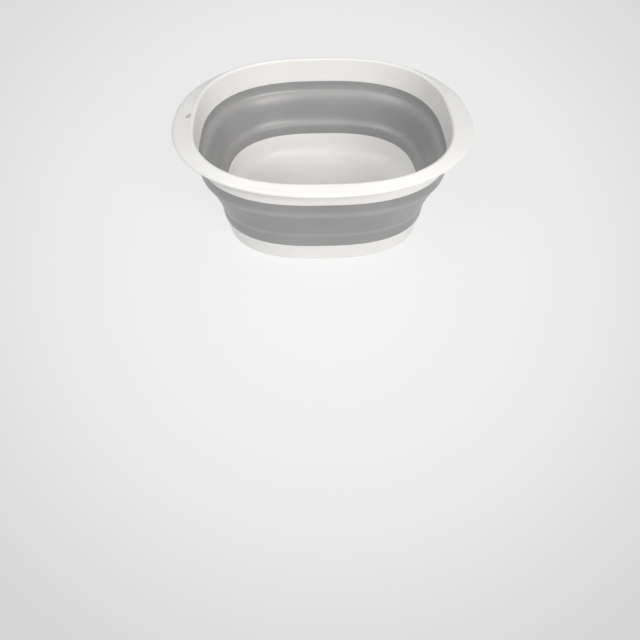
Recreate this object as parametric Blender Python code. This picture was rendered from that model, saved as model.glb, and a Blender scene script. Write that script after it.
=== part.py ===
"""Collapsible oval wash basin, shown open.

A hard white rim and a hard white base tray are joined by a soft grey wall. The wall's middle turns
inside out when the rim is pushed down, so it is built as nested hoops that slide past each other.
World frame: +X along the length, +Y across, +Z up, the base's foot on Z = 0. Metres.
"""
import math

import bpy
import numpy as np

# Plan: every level is a parallel offset from the inner wall at the lower fold.
STATIONS = 72
CURVE_SAMPLES = 7200
FOLD_HALF_LENGTH = 0.1453
FOLD_HALF_WIDTH = 0.1245
FOLD_SQUARENESS = 2.7
RIM_HALF_LENGTH = 0.200
RIM_HALF_WIDTH = 0.165
RIM_SQUARENESS = 2.21
SOLVE_STEPS = 60

# Heights above the surface that the basin stands on.
RIM_TOP = 0.154
SKIRT_FOOT = 0.120
UPPER_FOLD = 0.1035
LOWER_FOLD = 0.053
TRAY_TOP = 0.0455
TRAY_SHOULDER = 0.0295

# Gap left between neighbouring pieces.
GAP = 0.0003

# Hoops that stand for the wall's folding middle.
HOOPS = 8
HOOP_OVERLAP = 0.001
UPPER_FOLD_OFFSET = 0.02165
LOWER_FOLD_OFFSET = 0.00115

# Rim: flange, rolled edge and skirt.
RIM_WALL = 0.0024
SKIRT_FOOT_OFFSET = 0.0229
SKIRT_FOOT_WALL = 0.0026
SKIRT_FOOT_SLANT = 0.0012
SKIRT_HEAD_OFFSET = 0.0240
CROWN_RADIUS = 0.0032
FLANGE_FALL = 0.004
ROLL_DEPTH = 0.0048
ROLL_SHARE = 0.38
ROLL_ANGLES = (70, 50, 30, 10)
CROWN_ANGLES = (180, 150, 120, 90)

# Blank round dimple in the middle of the flange's left end, outside the crown.
DIMPLE_RADIUS = 0.0034
DIMPLE_DEPTH = 0.0007
DIMPLE_MARGIN = 0.0028
DIMPLE_SIDES = 24

# Tongue of the rim's skirt, held in a groove of the soft wall.
TONGUE_WALL = 0.0008
TONGUE_HEIGHT = 0.005

# Soft wall bands.
BAND_WALL = 0.0023
BAND_LAP = 0.001
BAND_EDGE = 0.0005
COLLAR_WALL = 0.0011
COLLAR_HEIGHT = 0.009

# Base tray: upstand that the soft wall laps over, outer wall, foot, bowl and floor.
TRAY_JOINT_OFFSET = -0.0029
TRAY_JOINT_WALL = 0.0033
UPSTAND_WALL = 0.0015
TRAY_DRAFT = 0.0052
BOWL_RADIUS = 0.024
BOWL_LEAN = 0.0011
BOWL_ANGLES = (0, 15, 30, 45, 60, 75, 90)
UNDER_ANGLES = (90, 75, 60, 47, 36)
FLOOR_TOP = 0.0065
FLOOR_WALL = 0.0024
FOOT_WALL = 0.0026
FOOT_ROUND = 0.0016
FOOT_CHAMFER = 0.0004

SMOOTH_ANGLE = math.radians(28)


def clear_scene():
    """Remove every object of the start-up scene."""
    for obj in list(bpy.data.objects):
        bpy.data.objects.remove(obj, do_unlink=True)


def material(name, colour, roughness):
    """One plastic material per piece."""
    made = bpy.data.materials.new(name)
    made.use_nodes = True
    shader = made.node_tree.nodes["Principled BSDF"]
    shader.inputs["Base Color"].default_value = (*colour, 1.0)
    shader.inputs["Roughness"].default_value = roughness
    shader.inputs["Metallic"].default_value = 0.0
    return made


def white(name):
    """White polypropylene, slightly glossy."""
    return material(name, (0.84, 0.82, 0.80), 0.35)


def grey(name):
    """Grey soft rubber, matt."""
    return material(name, (0.27, 0.27, 0.285), 0.6)


def superellipse(angle, half_length, half_width, power):
    """Point of a rounded oval at one parameter angle."""
    along = np.sign(np.cos(angle)) * np.abs(np.cos(angle)) ** (2 / power)
    across = np.sign(np.sin(angle)) * np.abs(np.sin(angle)) ** (2 / power)
    return half_length * along, half_width * across


def plan_stations():
    """Evenly spaced points of the lower fold's inner plan, with their outward normals."""
    angle = np.linspace(0, 2 * math.pi, CURVE_SAMPLES + 1)
    x, y = superellipse(angle, FOLD_HALF_LENGTH, FOLD_HALF_WIDTH, FOLD_SQUARENESS)
    steps = np.hypot(np.diff(x), np.diff(y))
    travelled = np.concatenate([[0], np.cumsum(steps)])
    wanted = np.linspace(0, travelled[-1], STATIONS + 1)[:-1]
    points = np.column_stack([np.interp(wanted, travelled, x), np.interp(wanted, travelled, y)])
    slope_x = np.sign(points[:, 0]) * np.abs(points[:, 0] / FOLD_HALF_LENGTH) ** (FOLD_SQUARENESS - 1)
    slope_y = np.sign(points[:, 1]) * np.abs(points[:, 1] / FOLD_HALF_WIDTH) ** (FOLD_SQUARENESS - 1)
    normals = np.column_stack([slope_x / FOLD_HALF_LENGTH, slope_y / FOLD_HALF_WIDTH])
    normals = normals / np.linalg.norm(normals, axis=1)[:, None]
    return points, normals


def flange_reach(points, normals):
    """Offset at which each station's normal meets the flange's outline."""
    near = np.zeros(STATIONS)
    far = np.full(STATIONS, RIM_HALF_LENGTH)
    for _ in range(SOLVE_STEPS):
        middle = (near + far) / 2
        x = np.abs(points[:, 0] + middle * normals[:, 0]) / RIM_HALF_LENGTH
        y = np.abs(points[:, 1] + middle * normals[:, 1]) / RIM_HALF_WIDTH
        outside = x ** RIM_SQUARENESS + y ** RIM_SQUARENESS > 1
        far = np.where(outside, middle, far)
        near = np.where(outside, near, middle)
    return (near + far) / 2


POINTS, NORMALS = plan_stations()
REACH = flange_reach(POINTS, NORMALS)


def add_object(name, vertices, faces, look, level):
    """Make one smooth-shaded object whose origin is on the vertical axis at its own level."""
    mesh = bpy.data.meshes.new(name)
    mesh.from_pydata(vertices, [], faces)
    mesh.update()
    mesh.shade_smooth()
    mesh.set_sharp_from_angle(angle=SMOOTH_ANGLE)
    mesh.materials.append(look)
    obj = bpy.data.objects.new(name, mesh)
    obj.location = (0, 0, level)
    bpy.context.scene.collection.objects.link(obj)
    return obj


def sweep(sections, level):
    """Vertices of one section per station; a section lists (offset, height) pairs."""
    vertices = []
    for point, normal, section in zip(POINTS, NORMALS, sections):
        for offset, height in section:
            x, y = point + offset * normal
            vertices.append((x, y, height - level))
    return vertices


def side_faces(count, closed):
    """Quads between neighbouring stations, for sections of count points."""
    faces = []
    for station in range(STATIONS):
        following = (station + 1) % STATIONS
        for i in range(count if closed else count - 1):
            j = (i + 1) % count
            faces.append((
                station * count + i,
                following * count + i,
                following * count + j,
                station * count + j,
            ))
    return faces


def hoop_body(name, sections, look, level):
    """Closed body that runs right round the plan; its sections run outwards along their lowest side."""
    faces = side_faces(len(sections[0]), closed=True)
    return add_object(name, sweep(sections, level), faces, look, level)


def dish_body(name, sections, look, level):
    """Body closed across the middle below its sections' first point and above their last."""
    count = len(sections[0])
    faces = side_faces(count, closed=False)
    bottom = tuple(station * count for station in reversed(range(STATIONS)))
    top = tuple(station * count + count - 1 for station in range(STATIONS))
    faces.extend([bottom, top])
    return add_object(name, sweep(sections, level), faces, look, level)


def arc(centre, radius_across, radius_up, angles):
    """Points of an ellipse's arc, at angles in degrees from the outward direction."""
    found = []
    for angle in angles:
        turn = math.radians(angle)
        found.append((centre[0] + radius_across * math.cos(turn), centre[1] + radius_up * math.sin(turn)))
    return found


def between(start, end, share):
    """Point a share of the way from start to end."""
    return tuple(a + (b - a) * share for a, b in zip(start, end))


def rim_section(reach):
    """Rim's section where the flange reaches out to one offset."""
    crown_centre = (SKIRT_HEAD_OFFSET + CROWN_RADIUS, RIM_TOP - CROWN_RADIUS)
    inner_foot = (SKIRT_FOOT_OFFSET, SKIRT_FOOT)
    outer_foot = (SKIRT_FOOT_OFFSET + SKIRT_FOOT_WALL, SKIRT_FOOT + SKIRT_FOOT_SLANT)
    flange = reach - SKIRT_HEAD_OFFSET
    roll = flange * ROLL_SHARE
    roll_centre = (reach - roll, RIM_TOP - FLANGE_FALL - ROLL_DEPTH)
    outer_roll = arc(roll_centre, roll, ROLL_DEPTH, ROLL_ANGLES + (0,))
    inner_roll = arc(roll_centre, roll - RIM_WALL, ROLL_DEPTH - RIM_WALL, (0,) + ROLL_ANGLES[::-1])
    crown = arc(crown_centre, CROWN_RADIUS, CROWN_RADIUS, CROWN_ANGLES)
    under_crown = (SKIRT_HEAD_OFFSET + RIM_WALL, RIM_TOP - CROWN_RADIUS - RIM_WALL)
    under_corner = (SKIRT_HEAD_OFFSET + RIM_WALL + CROWN_RADIUS / 2, RIM_TOP - RIM_WALL - CROWN_RADIUS / 4)
    tongue_in = (SKIRT_FOOT_WALL - TONGUE_WALL) / 2
    tongue_out = (SKIRT_FOOT_WALL + TONGUE_WALL) / 2
    root_in = between(inner_foot, outer_foot, tongue_in / SKIRT_FOOT_WALL)
    root_out = between(inner_foot, outer_foot, tongue_out / SKIRT_FOOT_WALL)
    tip_in = (root_in[0], SKIRT_FOOT - TONGUE_HEIGHT)
    tip_out = (root_out[0], SKIRT_FOOT - TONGUE_HEIGHT)
    outline = [inner_foot, root_in, tip_in, tip_out, root_out, outer_foot]
    outline.extend([under_crown, under_corner])
    outline.extend(reversed(inner_roll))
    outline.extend(reversed(outer_roll))
    outline.extend(reversed(crown))
    return outline


def band_section(low_in, low_wall, high_in, high_wall, low_slant, high_slant):
    """Plain four-sided band: inner offset and height at each end, with slanted end faces."""
    low_out = (low_in[0] + low_wall, low_in[1] + low_slant)
    high_out = (high_in[0] + high_wall, high_in[1] + high_slant)
    return low_in, low_out, high_out, high_in


def upper_band_section():
    """Soft wall between the upper fold and the skirt, grooved for the skirt's tongue."""
    low_in = (UPPER_FOLD_OFFSET + GAP / 2, UPPER_FOLD - BAND_LAP)
    high_in = (SKIRT_FOOT_OFFSET, SKIRT_FOOT - GAP)
    parts = band_section(low_in, BAND_WALL, high_in, SKIRT_FOOT_WALL, 0, SKIRT_FOOT_SLANT)
    low_in, low_out, high_out, high_in = parts
    groove = TONGUE_WALL + 2 * GAP
    groove_in = (SKIRT_FOOT_WALL - groove) / 2
    groove_out = (SKIRT_FOOT_WALL + groove) / 2
    mouth_in = between(high_in, high_out, groove_in / SKIRT_FOOT_WALL)
    mouth_out = between(high_in, high_out, groove_out / SKIRT_FOOT_WALL)
    depth = SKIRT_FOOT - TONGUE_HEIGHT - GAP
    edge_out = (low_out[0], low_out[1] + BAND_EDGE)
    edge_in = (low_out[0] - BAND_EDGE, low_out[1])
    return [
        low_in, edge_in, edge_out, high_out,
        mouth_out, (mouth_out[0], depth), (mouth_in[0], depth), mouth_in,
        high_in,
    ]


def lower_band_section():
    """Soft wall between the lower fold and the tray, lapped over the tray's upstand."""
    inner = TRAY_JOINT_OFFSET
    lap = inner + UPSTAND_WALL + GAP
    outer = inner + TRAY_JOINT_WALL
    fold_out = LOWER_FOLD_OFFSET - GAP / 2
    collar_top = LOWER_FOLD + COLLAR_HEIGHT
    return [
        (inner, TRAY_TOP + GAP),
        (lap, TRAY_TOP + GAP),
        (lap, TRAY_SHOULDER + GAP),
        (outer, TRAY_SHOULDER + GAP),
        (fold_out, LOWER_FOLD),
        (fold_out, collar_top),
        (fold_out - COLLAR_WALL, collar_top),
        (fold_out - BAND_WALL, LOWER_FOLD),
    ]


def tray_section():
    """Half section of the tray, from the edge of its underside over the wall to its floor."""
    bowl_centre = (TRAY_JOINT_OFFSET - BOWL_LEAN - BOWL_RADIUS, FLOOR_TOP + BOWL_RADIUS)
    bowl = arc(bowl_centre, BOWL_RADIUS, -BOWL_RADIUS, reversed(BOWL_ANGLES))
    under_radius = BOWL_RADIUS + FLOOR_WALL
    under = arc(bowl_centre, under_radius, -under_radius, reversed(UNDER_ANGLES))
    upstand = TRAY_JOINT_OFFSET + UPSTAND_WALL
    outer = TRAY_JOINT_OFFSET + TRAY_JOINT_WALL
    foot_out = outer - TRAY_DRAFT
    foot_round = arc((foot_out - FOOT_ROUND, FOOT_ROUND), FOOT_ROUND, FOOT_ROUND, (-30, -60, -90))
    foot_in = foot_round[-1][0] - FOOT_WALL / 2
    channel_head = (under[0][0] + FOOT_WALL / 2, under[0][1])
    outline = list(bowl)
    outline.extend([(TRAY_JOINT_OFFSET, TRAY_TOP), (upstand, TRAY_TOP)])
    outline.extend([(upstand, TRAY_SHOULDER), (outer, TRAY_SHOULDER)])
    outline.append((foot_out, FOOT_ROUND))
    outline.extend(foot_round)
    outline.extend([(foot_in, 0), (foot_in - FOOT_CHAMFER, FOOT_CHAMFER)])
    outline.append(channel_head)
    outline.extend(under)
    return outline[::-1]


def hoop_section(index):
    """Section of one hoop of the folding wall, counted from the upper fold."""
    share = (index + 1 / 2) / HOOPS
    pitch = (UPPER_FOLD_OFFSET - LOWER_FOLD_OFFSET) / HOOPS
    step = (UPPER_FOLD - LOWER_FOLD) / HOOPS
    middle = UPPER_FOLD_OFFSET + (LOWER_FOLD_OFFSET - UPPER_FOLD_OFFSET) * share
    level = UPPER_FOLD + (LOWER_FOLD - UPPER_FOLD) * share
    reach = (pitch - GAP) / 2
    rise = step / 2 + HOOP_OVERLAP
    low = level - rise
    high = level + rise
    section = [(middle - reach, low), (middle + reach, low), (middle + reach, high), (middle - reach, high)]
    return section, level


def build_rim():
    """White rim with its wide ends, skirt and blank dimple."""
    sections = [rim_section(reach) for reach in REACH]
    rim = hoop_body("rim_frame", sections, white("rim_white"), RIM_TOP)
    cut_dimple(rim)
    return rim


def cut_dimple(rim):
    """Cut the shallow round dimple in the flange's top with a hidden cylinder."""
    flange = REACH[STATIONS // 2] - SKIRT_HEAD_OFFSET
    flat = flange * (1 - ROLL_SHARE) - CROWN_RADIUS
    outward = DIMPLE_MARGIN + DIMPLE_RADIUS
    centre_x = -(FOLD_HALF_LENGTH + SKIRT_HEAD_OFFSET + CROWN_RADIUS + outward)
    floor = RIM_TOP - FLANGE_FALL * outward / flat - DIMPLE_DEPTH
    head = RIM_TOP + DIMPLE_DEPTH
    ring = []
    for side in range(DIMPLE_SIDES):
        turn = 2 * math.pi * (side + 1 / 2) / DIMPLE_SIDES
        ring.append((centre_x + DIMPLE_RADIUS * math.cos(turn), DIMPLE_RADIUS * math.sin(turn)))
    vertices = [(x, y, floor) for x, y in ring]
    vertices.extend((x, y, head) for x, y in ring)
    faces = [tuple(reversed(range(DIMPLE_SIDES))), tuple(range(DIMPLE_SIDES, 2 * DIMPLE_SIDES))]
    for side in range(DIMPLE_SIDES):
        after = (side + 1) % DIMPLE_SIDES
        faces.append((side, after, DIMPLE_SIDES + after, DIMPLE_SIDES + side))
    cutter = add_object("dimple_cutter", vertices, faces, white("cutter_white"), 0)
    cutter.hide_render = True
    cutter.display_type = "WIRE"
    cut = rim.modifiers.new("dimple", "BOOLEAN")
    cut.operation = "DIFFERENCE"
    cut.solver = "EXACT"
    cut.object = cutter


def build_wall():
    """Soft grey wall: upper band, folding hoops and lower band."""
    hoop_body("upper_wall_band", [upper_band_section()] * STATIONS, grey("upper_band_grey"), UPPER_FOLD)
    for index in range(HOOPS):
        section, level = hoop_section(index)
        name = f"fold_hoop_{index + 1}"
        hoop_body(name, [section] * STATIONS, grey(f"hoop_{index + 1}_grey"), level)
    hoop_body("lower_wall_band", [lower_band_section()] * STATIONS, grey("lower_band_grey"), LOWER_FOLD)


def build_tray():
    """White base tray with its rounded bowl and standing foot."""
    dish_body("base_tray", [tray_section()] * STATIONS, white("tray_white"), 0)


clear_scene()
build_rim()
build_wall()
build_tray()
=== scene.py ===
"""Looks for the collapsible wash basin: finely moulded rim, folding wall and base tray on a pale floor."""
import math

import bmesh
import bpy
import numpy as np
from mathutils import Matrix, Vector


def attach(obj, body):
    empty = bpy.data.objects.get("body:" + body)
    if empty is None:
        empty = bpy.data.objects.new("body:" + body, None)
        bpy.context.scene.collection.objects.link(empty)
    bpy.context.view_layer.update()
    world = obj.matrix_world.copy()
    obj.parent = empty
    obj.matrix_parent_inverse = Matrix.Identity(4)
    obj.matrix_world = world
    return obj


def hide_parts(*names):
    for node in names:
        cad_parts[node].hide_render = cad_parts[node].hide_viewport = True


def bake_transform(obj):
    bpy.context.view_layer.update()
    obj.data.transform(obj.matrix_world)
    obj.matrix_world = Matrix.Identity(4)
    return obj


MM = 0.001

# Plan curve of the wall at the lower fold, and the flange's outline, in millimetres as all sizes below.
HALF_LENGTH = 145.3
HALF_WIDTH = 124.5
SQUARENESS = 2.7
RIM_HALF_LENGTH = 200.0
RIM_HALF_WIDTH = 165.0
RIM_SQUARENESS = 2.21
STATIONS = 288
DENSE = 36000

# How finely curves are worked out: bisections, longest step along a path, largest turn of a bend in degrees,
# largest share of a side that a bend takes, shortest gap between points, and least angle of a crisp edge.
HALVINGS = 60
PATH_STEP = 1.1
BEND_TURN = 7
BEND_SHARE = 0.48
LEAST_GAP = 1e-3
CREASE = math.radians(42)

# Rim section.
RIM_TOP = 154.0
SKIRT_HEAD = 24.0
CROWN = 3.2
RIM_WALL = 2.4
FLANGE_FALL = 4.0
ROLL_DEPTH = 4.8
ROLL_SHARE = 0.38
ROLL_TURN = 62
SKIRT_EDGE = (22.92, 120.4)
PARTING_LINE = (0.10, 0.12)

# Blank oval dimple in the left flange.
DIMPLE_X = -178.7
DIMPLE_Y = 1.2
DIMPLE_HALF_WIDTH = 4.7
DIMPLE_HALF_LENGTH = 7.2
DIMPLE_DEPTH = 0.8
DIMPLE_BORDER = 0.34

# Part of the flange that is refined for the dimple: its radius, how far below the rim's top it goes, cuts per edge.
REFINED_RADIUS = 8.5
REFINED_DEPTH = 3
REFINED_CUTS = 7

# How far the outer skin of wall and tray swells at the basin's two ends, and the heights where that swell is full
# and where it is gone.
SWELL = 3.2
SWELL_FULL = 40.0
SWELL_NONE = 103.0

# Wall's corners as (offset, height, rounding): outer skin upwards, inner skin from its top to the upper fold,
# and from the lower fold to its foot. Between those two it glides along the given ways.
WALL_OUTER = [
    (-1.1, 38.0, 0), (-1.1, 29.8, 0.3), (0.4, 29.8, 0.4), (1.5, 45.5, 9), (3.1, 52.2, 5), (5.0, 59.5, 9),
    (13.2, 79.5, 60), (21.7, 97.6, 9), (25.3, 103.6, 4.2), (24.6, 109.4, 7), (25.5, 120.9, 0.4),
    (22.9, 119.7, 0.4), (22.5, 114.0, 0),
]
WALL_INNER_TOP = [(22.5, 114.0, 0), (21.9, 107.6, 4), (20.4, 105.2, 0)]
WALL_INNER_FOOT = [
    (2.1, 61.9, 0), (-0.2, 59.7, 2.6), (-1.1, 55.0, 20), (-2.9, 45.8, 0.3), (-1.1, 45.8, 0.25), (-1.1, 38.0, 0),
]
GLIDE_DOWN = (-0.75, -0.68)
GLIDE_IN = (-0.56, -0.56)
GLIDE_PARTS = 48
GLIDE_PULL = 1.05
HIDDEN_OFFSET = -1.0

# Where the wall's two skins bend, and where the painted highlight along the folds lies: height and spread of each
# fold.
OUTER_FOLDS = ((103.5, 4.2), (52.0, 3.4))
INNER_FOLDS = ((105.0, 6.5), (61.8, 4.0))

# Tray section.
FLOOR_TOP = 6.5
FLOOR_UNDER = 4.1
BOWL = 24.0
BOWL_CENTRE = -28.0
FLOOR_CROWN = 0.35
FLOOR_RINGS = 28
FLOOR_EDGE_POWER = 30

# Gate mark under the tray, as (share of the floor, height over its underside).
GATE_MARK = [(0.03, 0.0), (0.0285, 0.0), (0.0275, -0.35), (0.014, -0.4), (0.012, -0.8), (0.005, -0.9)]

# Colours of the mouldings.
WHITE_PALE, WHITE_DEEP = (0.900, 0.889, 0.872), (0.882, 0.870, 0.852)
SCUFF_TINT, SCUFF_SHARE = (0.60, 0.585, 0.565), 0.22
# Painted shade: tint and share that darken the inside of the flange's dimple.
DIMPLE_SHADE_TINT, DIMPLE_SHADE_SHARE = (0.53, 0.485, 0.475), 0.8
GREY_PALE, GREY_DEEP = (0.328, 0.325, 0.328), (0.302, 0.300, 0.304)
SPECK_TINT = (0.37, 0.37, 0.375)
# Painted highlight: tint and share that make the grey paler along the folds.
FOLD_HIGHLIGHT_TINT, FOLD_HIGHLIGHT_SHARE = (0.45, 0.446, 0.444), 0.52
PLASTIC_IOR = 1.49

# Heights in metres below which the rim and the tray look rubbed, and the height over which that fades.
RIM_SCUFF = 0.1195
TRAY_SCUFF = -0.0005
SCUFF_FADE = 0.003

# Light: name, place in metres, size in metres, power in watts and tint of each lamp, and what they look at.
LAMPS = [
    ("key", (2.17, -3.75, 2.58), (2.6, 2.6), 152, (1.0, 0.985, 0.962)),
    ("left", (-2.88, -1.94, 3.68), (2.6, 2.6), 64, (0.997, 0.998, 1.0)),
    ("high", (0.0, -3.08, 4.02), (2.4, 1.2), 8, (1.0, 0.995, 0.985)),
]
LAMP_AIM = (0, 0, 0.08)

# Surroundings: their tint, the strength that lights the object and the one that the camera sees.
WORLD_TINT = (0.99, 0.995, 1.0)
WORLD_LEVEL = 0.43
WORLD_SEEN = 0.62

# Floor: corners in metres, painted shade far from the middle, fade towards the painted pool of light in it, share
# of the seen colour that glows evenly instead of being lit, and how far the lit share is darkened, always and for
# diffuse rays.
FLOOR_CORNERS = [(-6, -4, 0), (6, -4, 0), (6, 9, 0), (-6, 9, 0)]
FAR_TONE = (0.715, 0.715, 0.715)
FADE_POWER = 1.7
FADE_REACH = 0.934
GLOW_SHARE = 0.75
DIM_ALWAYS = 0.3
DIM_DIFFUSE = 0.16

# Perspective in which the floor's round painted pool of light lies: middle and distance in metres, slopes, and
# least depth.
FADE_MIDDLE = 0.10
FADE_DISTANCE = 0.75
FADE_DEEPEN = 0.61
FADE_RISE = 0.709
FADE_NEAREST = 0.2

# Camera, fitted to the photo's edges: place in metres, and turns about Z, X and Z in radians.
CAMERA_PLACE = (-0.021756, -0.640833, 0.532049)
CAMERA_TURNS = ((-0.027993, "Z"), (0.657318, "X"), (-0.002097, "Z"))
CAMERA_LENS = 29.145
CAMERA_SENSOR = 36.0


def plan(count):
    """Evenly spaced points of the plan curve and their outward normals."""
    half = np.array([HALF_LENGTH, HALF_WIDTH])
    angle = np.linspace(0, 2 * math.pi, DENSE + 1)
    circle = np.column_stack([np.cos(angle), np.sin(angle)])
    curve = half * np.sign(circle) * np.abs(circle) ** (2 / SQUARENESS)
    steps = np.linalg.norm(np.diff(curve, axis=0), axis=1)
    travelled = np.concatenate([[0], np.cumsum(steps)])
    wanted = np.linspace(0, travelled[-1], count + 1)[:-1]
    points = np.column_stack([np.interp(wanted, travelled, curve[:, k]) for k in (0, 1)])
    normals = np.sign(points) * np.abs(points / half) ** (SQUARENESS - 1) / half
    return points, normals / np.linalg.norm(normals, axis=1)[:, None]


def flange_reach(points, normals):
    """Offset at which each normal meets the flange's outline."""
    half = np.array([RIM_HALF_LENGTH, RIM_HALF_WIDTH])
    near, far = np.zeros(len(points)), np.full(len(points), RIM_HALF_LENGTH)
    for _ in range(HALVINGS):
        middle = (near + far) / 2
        place = np.abs(points + middle[:, None] * normals) / half
        outside = (place**RIM_SQUARENESS).sum(axis=1) > 1
        far = np.where(outside, middle, far)
        near = np.where(outside, near, middle)
    return (near + far) / 2


POINTS, NORMALS = plan(STATIONS)
REACH = flange_reach(POINTS, NORMALS)


# ---------- sections: lists of (offset, height), outwards along their lowest side ----------


def line(start, end, parts):
    """Points from start to end, without the start."""
    a, b = np.array(start, float), np.array(end, float)
    return [a + (b - a) * k / parts for k in range(1, parts + 1)]


def arc(centre, across, up, first, last, parts):
    """Points of an elliptical arc between two angles in degrees, both ends included."""
    turns = [math.radians(first + (last - first) * k / parts) for k in range(parts + 1)]
    return [np.array([centre[0] + across * math.cos(t), centre[1] + up * math.sin(t)]) for t in turns]


def ease(start, aim, end, parts):
    """Soft bend from start to end that leans on the point between them, both ends included."""
    a, b, c = (np.array(p, float) for p in (start, aim, end))
    shares = [k / parts for k in range(parts + 1)]
    return [(1 - t) ** 2 * a + 2 * t * (1 - t) * b + t * t * c for t in shares]


def glide(start, start_way, end, end_way, parts, pull=1.0):
    """Smooth curve that leaves one point and arrives at another along given ways, without its ends."""
    a, b = np.array(start, float), np.array(end, float)
    size = float(np.linalg.norm(b - a)) * pull
    u, v = (np.array(way, float) * size for way in (start_way, end_way))
    out = []
    for k in range(1, parts):
        t = k / parts
        near, far = 2 * t**3 - 3 * t**2 + 1, 3 * t**2 - 2 * t**3
        out.append(near * a + (t**3 - 2 * t**2 + t) * u + far * b + (t**3 - t**2) * v)
    return out


def slope(across, up):
    """The same way with a length of one."""
    return np.array([across, up]) / math.hypot(across, up)


def rounded(corners):
    """Path through (offset, height, radius) corners, each bend softened, in steps no longer than PATH_STEP."""
    path = [np.array(corners[0][:2], float)]
    for k in range(1, len(corners) - 1):
        here = np.array(corners[k][:2], float)
        back = np.array(corners[k - 1][:2], float) - here
        ahead = np.array(corners[k + 1][:2], float) - here
        long_back, long_ahead = np.linalg.norm(back), np.linalg.norm(ahead)
        cosine = float(back @ ahead) / (long_back * long_ahead)
        half = math.acos(max(-1.0, min(1.0, cosine))) / 2
        cut = corners[k][2] / math.tan(half)
        cut_back, cut_ahead = min(cut, BEND_SHARE * long_back), min(cut, BEND_SHARE * long_ahead)
        parts = max(3, math.ceil(math.degrees(math.pi - 2 * half) / BEND_TURN))
        path.extend(ease(here + back / long_back * cut_back, here, here + ahead / long_ahead * cut_ahead, parts))
    path.append(np.array(corners[-1][:2], float))
    out = [path[0]]
    for point in path[1:]:
        gap = float(np.linalg.norm(point - out[-1]))
        if gap > LEAST_GAP:
            out.extend(line(out[-1], point, math.ceil(gap / PATH_STEP)))
    return out


def rim_section(reach):
    """Rim's section: skirt, crown, sloping flange and rolled lip with its faint parting line."""
    roll = (reach - SKIRT_HEAD) * ROLL_SHARE
    roll_in, depth_in = roll - RIM_WALL, ROLL_DEPTH - RIM_WALL
    centre = (reach - roll, RIM_TOP - FLANGE_FALL - ROLL_DEPTH)
    crown = (SKIRT_HEAD + CROWN, RIM_TOP - CROWN)
    sine, cosine = math.sin(math.radians(ROLL_TURN)), math.cos(math.radians(ROLL_TURN))
    foot = centre[1]
    out = ease(SKIRT_EDGE, (22.86, 119.95), (23.2, 120.1), 3)
    out += ease((25.0, 121.0), (25.45, 121.15), (25.52, 121.7), 4)
    out += line(out[-1], (26.35, 146.6), 14)
    out += ease((26.4, 147.4), (26.6, 150.9), (29.2, 150.7), 8)
    inner_roll = arc(centre, roll_in, depth_in, ROLL_TURN, 0, 12)
    out += glide(out[-1], (0.98, -0.2), inner_roll[0], slope(sine * roll_in, -cosine * depth_in), 10)
    out += inner_roll
    lip_in = reach - RIM_WALL
    out += ease((lip_in, foot - 0.05), (lip_in + 0.05, foot - 0.5), (reach - 1.7, foot - 0.5), 3)
    out += ease((reach - 0.7, foot - 0.5), (reach - 0.02, foot - 0.5), (reach, foot + 0.1), 4)
    skin = arc(centre, roll, ROLL_DEPTH, 3, ROLL_TURN, 26)
    for index, push in enumerate(PARTING_LINE, start=1):
        skin[index] = skin[index] + np.array([push, 0.0])
    out += skin
    brow = arc(crown, CROWN, CROWN, 72, 180, 18)
    out += glide(out[-1], slope(-sine * roll, cosine * ROLL_DEPTH), brow[0], (-0.951, 0.309), 18)
    out += brow
    out += line(out[-1], SKIRT_EDGE, 24)[:-1]
    return out


def wall_section():
    """Wall's section, as (offset, height, share of the end swell): two bands, their folds and the zone between."""
    outer = rounded(WALL_OUTER)
    inner = rounded(WALL_INNER_TOP)[1:]
    inner += glide(inner[-1], GLIDE_DOWN, WALL_INNER_FOOT[0][:2], GLIDE_IN, GLIDE_PARTS, GLIDE_PULL)
    inner += rounded(WALL_INNER_FOOT)[:-1]
    swells = [1.0 if k > 0 and p[0] > HIDDEN_OFFSET else 0.0 for k, p in enumerate(outer)]
    return [(*p, w) for p, w in zip(outer, swells)] + [(*p, 0.0) for p in inner]


def tray_section():
    """Half section of the tray, as the wall's, from the edge of its underside over the wall to its floor."""
    middle = (BOWL_CENTRE, FLOOR_TOP + BOWL)
    under = BOWL + FLOOR_TOP - FLOOR_UNDER
    out = arc(middle, under, -under, 90, 40, 12)
    out += ease(out[-1] + np.array([0.1, 0.12]), (-6.2, 15.4), (-6.2, 12.6), 6)
    out += line(out[-1], (-7.75, 1.0), 6)
    out += ease((-7.8, 0.6), (-7.8, 0.02), (-7.3, 0.0), 4)
    hidden = len(out)
    out += ease((-6.2, 0.0), (-4.85, 0.0), (-4.7, 1.9), 8)
    out += line(out[-1], (0.33, 28.8), 22)
    out += ease((0.35, 29.05), (0.42, 29.5), (0.05, 29.5), 4)
    shown = len(out)
    out += line(out[-1], (-1.25, 29.5), 2)
    out += line((-1.4, 29.8), (-1.4, 45.0), 6)
    out += ease((-1.4, 45.2), (-1.42, 45.5), (-1.8, 45.5), 3)
    out += ease((-2.5, 45.5), (-2.88, 45.5), (-2.94, 45.1), 3)
    out += line(out[-1], (-4.0, 31.2), 8)
    out += arc(middle, BOWL, -BOWL, 3, 84, 34)
    return [(*p, 1.0 if hidden <= k < shown else 0.0) for k, p in enumerate(out)]


# ---------- meshes ----------


def make_piece(name, vertices, faces, look):
    """One smooth mesh object whose tight corners stay crisp."""
    mesh = bpy.data.meshes.new(name)
    mesh.from_pydata([tuple(v) for v in np.array(vertices) * MM], [], faces)
    mesh.shade_smooth()
    mesh.set_sharp_from_angle(angle=CREASE)
    mesh.materials.append(look)
    piece = bpy.data.objects.new(name, mesh)
    bpy.context.scene.collection.objects.link(piece)
    return piece


def rings(sections):
    """Vertices of one section per station, set along the plan's normals."""
    out = []
    for point, normal, section in zip(POINTS, NORMALS, sections):
        shape = np.array(section)
        out.append(np.column_stack([point + np.outer(shape[:, 0], normal), shape[:, 1]]))
    return np.concatenate(out)


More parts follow.
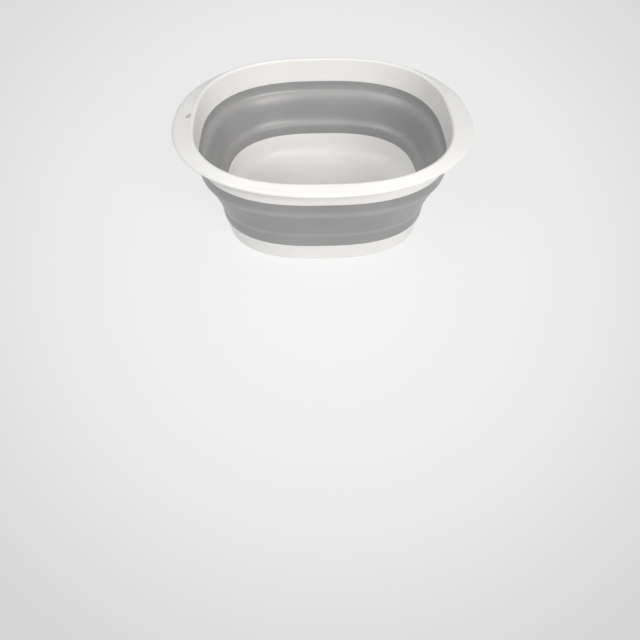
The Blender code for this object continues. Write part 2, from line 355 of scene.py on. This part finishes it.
def swollen(section):
    """One section per station, its outer skin swollen towards the basin's two ends."""
    shape = np.array(section)
    fade = np.clip((SWELL_NONE - shape[:, 1]) / (SWELL_NONE - SWELL_FULL), 0, 1)
    push = SWELL * shape[:, 2] * fade * fade * (3 - 2 * fade)
    return [np.column_stack([shape[:, 0] + push * normal[0] ** 2, shape[:, 1]]) for normal in NORMALS]


def ring_faces(count, closed):
    """Quads between neighbouring stations."""
    out = []
    for s in range(STATIONS):
        f = (s + 1) % STATIONS
        for i in range(count if closed else count - 1):
            j = (i + 1) % count
            out.append((s * count + i, f * count + i, f * count + j, s * count + j))
    return out


def add_values(piece, name, values):
    """Store one number per vertex for the materials to read."""
    layer = piece.data.attributes.new(name, "FLOAT", "POINT")
    layer.data.foreach_set("value", np.asarray(values, dtype=np.float32))


def press_dimple(rim):
    """Refine the flange round the dimple and press it in, keeping how deep each vertex went for the painted shade
    and roughness of its recess.
    """
    work = bmesh.new()
    work.from_mesh(rim.data)
    near = []
    for edge in work.edges:
        middle = (edge.verts[0].co + edge.verts[1].co) / 2 / MM
        away = math.hypot(middle.x - DIMPLE_X, middle.y - DIMPLE_Y)
        if middle.z > RIM_TOP - REFINED_DEPTH and away < REFINED_RADIUS:
            near.append(edge)
    bmesh.ops.subdivide_edges(work, edges=near, cuts=REFINED_CUTS, use_grid_fill=True)
    depths = []
    for vert in work.verts:
        share = 0.0
        if vert.co.z / MM > RIM_TOP - REFINED_DEPTH:
            across = (vert.co.x / MM - DIMPLE_X) / DIMPLE_HALF_WIDTH
            along = (vert.co.y / MM - DIMPLE_Y) / DIMPLE_HALF_LENGTH
            share = max(0.0, min(1.0, (1 - math.hypot(across, along)) / DIMPLE_BORDER))
            share *= share * (3 - 2 * share)
            vert.co.z -= share * DIMPLE_DEPTH * MM
        depths.append(share)
    work.to_mesh(rim.data)
    work.free()
    rim.data.shade_smooth()
    rim.data.set_sharp_from_angle(angle=CREASE)
    add_values(rim, "pressed", depths)


def build_rim(look):
    """White rim with its skirt, sloping flange, rolled lip and blank dimple."""
    sections = [rim_section(reach) for reach in REACH]
    rim = make_piece("rim", rings(sections), ring_faces(len(sections[0]), True), look)
    press_dimple(rim)
    return rim


def build_wall(look):
    """Soft grey wall as one moulding, with its nearness to the folds kept for the painted highlight and smoothing
    in its material.
    """
    section = wall_section()
    wall = make_piece("wall", rings(swollen(section)), ring_faces(len(section), True), look)
    bent = []
    for _, height, skin in section:
        folds = OUTER_FOLDS if skin else INNER_FOLDS
        bent.append(sum(math.exp(-(((height - level) / spread) ** 2)) for level, spread in folds))
    add_values(wall, "fold", bent * STATIONS)
    return wall


def close_dish(vertices, faces, edge, levels, upward):
    """Fill the ring of vertices named by edge with shrinking rings at (share, height) levels and a middle fan."""
    outline = [vertices[index] for index in edge]
    before = edge
    for share, height in levels:
        now = range(len(vertices), len(vertices) + STATIONS)
        vertices.extend((x * share, y * share, height) for x, y, _ in outline)
        for s in range(STATIONS):
            f = (s + 1) % STATIONS
            quad = (before[s], before[f], now[f], now[s])
            faces.append(quad if upward else quad[::-1])
        before = now
    vertices.append((0.0, 0.0, levels[-1][1]))
    for s in range(STATIONS):
        f = (s + 1) % STATIONS
        fan = (before[s], before[f], len(vertices) - 1)
        faces.append(fan if upward else fan[::-1])


def build_tray(look):
    """White base tray: bowl with a faintly crowned floor, standing foot and a gate mark underneath."""
    section = tray_section()
    count = len(section)
    vertices = [tuple(v) for v in rings(swollen(section))]
    faces = ring_faces(count, False)
    lip = section[-1][1] - FLOOR_TOP
    shares = [1 - k / FLOOR_RINGS for k in range(1, FLOOR_RINGS)]
    floor = [(t, FLOOR_TOP + FLOOR_CROWN * (1 - t * t) ** 2 + lip * t**FLOOR_EDGE_POWER) for t in shares]
    under = [(t, FLOOR_UNDER) for t in shares] + [(t, FLOOR_UNDER + rise) for t, rise in GATE_MARK]
    close_dish(vertices, faces, [s * count + count - 1 for s in range(STATIONS)], floor, True)
    close_dish(vertices, faces, [s * count for s in range(STATIONS)], under, False)
    return make_piece("tray", vertices, faces, look)


# ---------- materials ----------


class Look:
    """A node material with short calls for the nodes used here."""

    def __init__(self, name):
        self.material = bpy.data.materials.new(name)
        self.material.use_nodes = True
        self.tree = self.material.node_tree
        self.shader = self.tree.nodes["Principled BSDF"]
        self.place = self.tree.nodes.new("ShaderNodeTexCoord").outputs["Object"]

    def node(self, kind, **inputs):
        """Node of one kind, with values or links for its inputs by name."""
        node = self.tree.nodes.new(kind)
        for key, value in inputs.items():
            socket = node.inputs[int(key[1:])] if key[0] == "i" and key[1:].isdigit() else node.inputs[key]
            self.feed(socket, value)
        return node

    def feed(self, socket, value):
        """Set a socket's value, or link it."""
        if isinstance(value, bpy.types.NodeSocket):
            self.tree.links.new(value, socket)
        else:
            socket.default_value = value

    def noise(self, scale, detail, stretch=None, roughness=0.5):
        """Noise factor at a scale, in turns per metre, stretched along the axes if asked."""
        place = self.place
        if stretch:
            place = self.node("ShaderNodeMapping", Vector=place, Scale=stretch, Rotation=(0.3, 0.2, 0.7)).outputs[0]
        made = self.node("ShaderNodeTexNoise", Vector=place, Scale=scale, Detail=detail, Roughness=roughness)
        return made.outputs[0]

    def span(self, value, low, high, to_low=0.0, to_high=1.0):
        """Map a range of a value onto another, clamped and softened."""
        made = self.node("ShaderNodeMapRange", i0=value, i1=low, i2=high, i3=to_low, i4=to_high)
        made.interpolation_type = "SMOOTHSTEP"
        return made.outputs[0]

    def sum(self, a, b, kind="ADD"):
        """Arithmetic of two numbers."""
        made = self.node("ShaderNodeMath", i0=a, i1=b)
        made.operation = kind
        return made.outputs[0]

    def uneven(self, scale):
        """Number from 0.7 to 1.1 that wanders with a noise."""
        return self.sum(self.sum(self.noise(scale, 2), 0.4, "MULTIPLY"), 0.7)

    def stored(self, name):
        """Number kept at the mesh's vertices under a name."""
        made = self.tree.nodes.new("ShaderNodeAttribute")
        made.attribute_name = name
        return made.outputs["Fac"]

    def mix(self, share, a, b):
        """Blend of two colours."""
        made = self.tree.nodes.new("ShaderNodeMix")
        made.data_type = "RGBA"
        self.feed(made.inputs[0], share)
        self.feed(made.inputs[6], a if isinstance(a, bpy.types.NodeSocket) else (*a, 1))
        self.feed(made.inputs[7], b if isinstance(b, bpy.types.NodeSocket) else (*b, 1))
        return made.outputs[2]

    def bump(self, height, distance, strength, under=None):
        """Bump from a height, on top of another bump if given."""
        made = self.node("ShaderNodeBump", Height=height, Distance=distance, Strength=strength)
        if under:
            self.feed(made.inputs["Normal"], under)
        return made.outputs[0]


def white_look(name, scuffed_below):
    """Moulded white plastic: faint clouding, satin grain, soft flow marks, a rubbed lowest edge and painted shade
    in the dimple's recess.
    """
    look = Look(name)
    cloud = look.span(look.noise(9, 4), 0.32, 0.68)
    colour = look.mix(cloud, WHITE_PALE, WHITE_DEEP)
    height = look.node("ShaderNodeSeparateXYZ", i0=look.place).outputs[2]
    low = look.span(height, scuffed_below, scuffed_below + SCUFF_FADE, 1.0, 0.0)
    scuff = look.sum(low, look.span(look.noise(190, 6, roughness=0.65), 0.44, 0.62), "MULTIPLY")
    colour = look.mix(look.sum(scuff, SCUFF_SHARE, "MULTIPLY"), colour, SCUFF_TINT)
    # Painted shade: the dimple's recess is darkened in colour, and the same mask makes it a little rougher.
    dimple_shade_and_matt = look.sum(look.stored("pressed"), look.uneven(900), "MULTIPLY")
    colour = look.mix(look.sum(dimple_shade_and_matt, DIMPLE_SHADE_SHARE, "MULTIPLY"), colour, DIMPLE_SHADE_TINT)
    look.feed(look.shader.inputs["Base Color"], colour)
    flow = look.span(look.noise(24, 5, stretch=(1, 1, 3)), 0.30, 0.70, 0.30, 0.38)
    hair = look.span(look.noise(60, 2, stretch=(1, 28, 28)), 0.70, 0.73, 0.0, 0.05)
    rough = look.sum(look.sum(flow, hair), look.sum(look.sum(scuff, dimple_shade_and_matt), 0.20, "MULTIPLY"))
    look.feed(look.shader.inputs["Roughness"], rough)
    skin = look.bump(look.noise(120, 2), 0.00006, 0.35)
    look.feed(look.shader.inputs["Normal"], look.bump(look.noise(2600, 2), 0.00002, 0.5, skin))
    look.shader.inputs["Subsurface Weight"].default_value = 0.10
    look.shader.inputs["Subsurface Radius"].default_value = (1.0, 0.9, 0.8)
    look.shader.inputs["Subsurface Scale"].default_value = 0.003
    look.shader.inputs["IOR"].default_value = PLASTIC_IOR
    return look.material


def grey_look(name):
    """Soft grey rubber: faintly mottled, finely grained, a little smoother where it bends, and mixed paler along
    the folds as a painted highlight.
    """
    look = Look(name)
    cloud = look.span(look.noise(14, 5), 0.33, 0.67)
    colour = look.mix(cloud, GREY_PALE, GREY_DEEP)
    speck = look.span(look.noise(1100, 2), 0.58, 0.72, 0.0, 0.12)
    colour = look.mix(speck, colour, SPECK_TINT)
    # Painted highlight along the folds, which also makes the rubber a little smoother there.
    fold_highlight_and_wear = look.sum(look.stored("fold"), look.uneven(30), "MULTIPLY")
    colour = look.mix(look.sum(fold_highlight_and_wear, FOLD_HIGHLIGHT_SHARE, "MULTIPLY"), colour, FOLD_HIGHLIGHT_TINT)
    look.feed(look.shader.inputs["Base Color"], colour)
    rough = look.span(look.noise(40, 6), 0.3, 0.7, 0.33, 0.38)
    rough = look.sum(rough, look.sum(fold_highlight_and_wear, 0.03, "MULTIPLY"), "SUBTRACT")
    look.feed(look.shader.inputs["Roughness"], rough)
    ripple = look.bump(look.noise(60, 2), 0.0002, 0.06)
    look.feed(look.shader.inputs["Normal"], look.bump(look.noise(2100, 3), 0.00004, 0.5, ripple))
    look.shader.inputs["Sheen Weight"].default_value = 0.08
    look.shader.inputs["Sheen Roughness"].default_value = 0.45
    look.shader.inputs["IOR"].default_value = PLASTIC_IOR
    return look.material


def floor_look():
    """Pale studio floor with a painted pool of light, brightest under the basin; most of it glows, so that its
    shadow stays light.
    """
    look = Look("studio_floor")
    parts = look.node("ShaderNodeSeparateXYZ", i0=look.place)
    along = look.sum(parts.outputs[1], FADE_MIDDLE)
    depth = look.sum(look.sum(along, FADE_DEEPEN, "MULTIPLY"), FADE_DISTANCE)
    depth = look.sum(depth, FADE_NEAREST, "MAXIMUM")
    across = look.sum(parts.outputs[0], depth, "DIVIDE")
    ahead = look.sum(look.sum(along, FADE_RISE, "MULTIPLY"), depth, "DIVIDE")
    square = look.sum(look.sum(across, across, "MULTIPLY"), look.sum(ahead, ahead, "MULTIPLY"))
    away = look.sum(look.sum(square, 0.5, "POWER"), FADE_REACH, "DIVIDE")
    share = look.sum(look.sum(away, 1.0, "MINIMUM"), FADE_POWER, "POWER")
    # Painted pool of light: white under the basin, fading to painted shade far from it.
    colour = look.mix(share, (1.0, 1.0, 1.0), FAR_TONE)
    path = look.node("ShaderNodeLightPath")
    dim = look.sum(look.sum(path.outputs["Is Diffuse Ray"], DIM_DIFFUSE, "MULTIPLY"), DIM_ALWAYS)
    look.feed(look.shader.inputs["Base Color"], look.mix(dim, colour, (0.0, 0.0, 0.0)))
    look.shader.inputs["Roughness"].default_value = 0.9
    look.shader.inputs["Specular IOR Level"].default_value = 0.1
    glow = look.node("ShaderNodeEmission", Color=colour, Strength=1.0)
    seen = look.sum(path.outputs["Is Camera Ray"], path.outputs["Is Glossy Ray"])
    seen = look.sum(seen, path.outputs["Is Transmission Ray"])
    glowing = look.sum(look.sum(seen, 1.0, "MINIMUM"), GLOW_SHARE, "MULTIPLY")
    mixed = look.tree.nodes.new("ShaderNodeMixShader")
    look.feed(mixed.inputs[0], glowing)
    look.feed(mixed.inputs[1], look.shader.outputs[0])
    look.feed(mixed.inputs[2], glow.outputs[0])
    look.feed(look.tree.nodes["Material Output"].inputs["Surface"], mixed.outputs[0])
    return look.material


# ---------- stage, light and camera ----------


def build_floor():
    """Wide floor sheet that carries the object's shadow."""
    mesh = bpy.data.meshes.new("floor")
    mesh.from_pydata(FLOOR_CORNERS, [], [(0, 1, 2, 3)])
    mesh.materials.append(floor_look())
    floor = bpy.data.objects.new("floor", mesh)
    bpy.context.scene.collection.objects.link(floor)


def add_lamp(name, place, size, power, tint):
    """Soft rectangular lamp looking at the basin."""
    data = bpy.data.lights.new(name, "AREA")
    data.shape = "RECTANGLE"
    data.size, data.size_y = size
    data.energy = power
    data.color = tint
    lamp = bpy.data.objects.new(name, data)
    lamp.location = place
    lamp.rotation_euler = (Vector(LAMP_AIM) - Vector(place)).to_track_quat("-Z", "Y").to_euler()
    bpy.context.scene.collection.objects.link(lamp)


def build_light():
    """Even studio light: three soft lamps on the camera's side and pale surroundings."""
    for lamp in LAMPS:
        add_lamp(*lamp)
    world = bpy.data.worlds.new("surroundings")
    world.use_nodes = True
    sky = world.node_tree.nodes["Background"]
    sky.inputs["Color"].default_value = (*WORLD_TINT, 1)
    path = world.node_tree.nodes.new("ShaderNodeLightPath")
    level = world.node_tree.nodes.new("ShaderNodeMapRange")
    level.inputs["To Min"].default_value = WORLD_LEVEL
    level.inputs["To Max"].default_value = WORLD_SEEN
    world.node_tree.links.new(path.outputs["Is Camera Ray"], level.inputs["Value"])
    world.node_tree.links.new(level.outputs["Result"], sky.inputs["Strength"])
    bpy.context.scene.world = world


def build_camera():
    """Camera at the photo's viewing angle."""
    data = bpy.data.cameras.new("camera")
    data.lens = CAMERA_LENS
    data.sensor_width = CAMERA_SENSOR
    camera = bpy.data.objects.new("camera", data)
    matrix = Matrix.Translation(CAMERA_PLACE)
    for angle, axis in CAMERA_TURNS:
        matrix = matrix @ Matrix.Rotation(angle, 4, axis)
    camera.matrix_world = matrix
    bpy.context.scene.collection.objects.link(camera)
    bpy.context.scene.camera = camera


def build_object():
    """The three mouldings in place of the hidden CAD parts: rim and tray tied to what they move with, the wall
    fixed where it stands.
    """
    rim = build_rim(white_look("rim_plastic_look", RIM_SCUFF))
    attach(rim, "rim")
    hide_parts("rim_frame")
    wall = build_wall(grey_look("wall_rubber_look"))
    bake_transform(wall)
    hoops = [f"fold_hoop_{index}" for index in range(1, 9)]
    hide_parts("upper_wall_band", *hoops, "lower_wall_band")
    tray = build_tray(white_look("tray_plastic_look", TRAY_SCUFF))
    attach(tray, "base")
    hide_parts("base_tray")


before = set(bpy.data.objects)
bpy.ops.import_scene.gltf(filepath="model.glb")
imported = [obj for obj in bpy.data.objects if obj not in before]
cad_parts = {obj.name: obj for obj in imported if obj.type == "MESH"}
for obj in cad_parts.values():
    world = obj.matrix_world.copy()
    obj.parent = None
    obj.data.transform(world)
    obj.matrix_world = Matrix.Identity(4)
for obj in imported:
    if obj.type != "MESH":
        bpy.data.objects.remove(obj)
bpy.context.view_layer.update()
build_object()
build_floor()
build_light()
build_camera()
bpy.context.scene.view_settings.view_transform = "Standard"
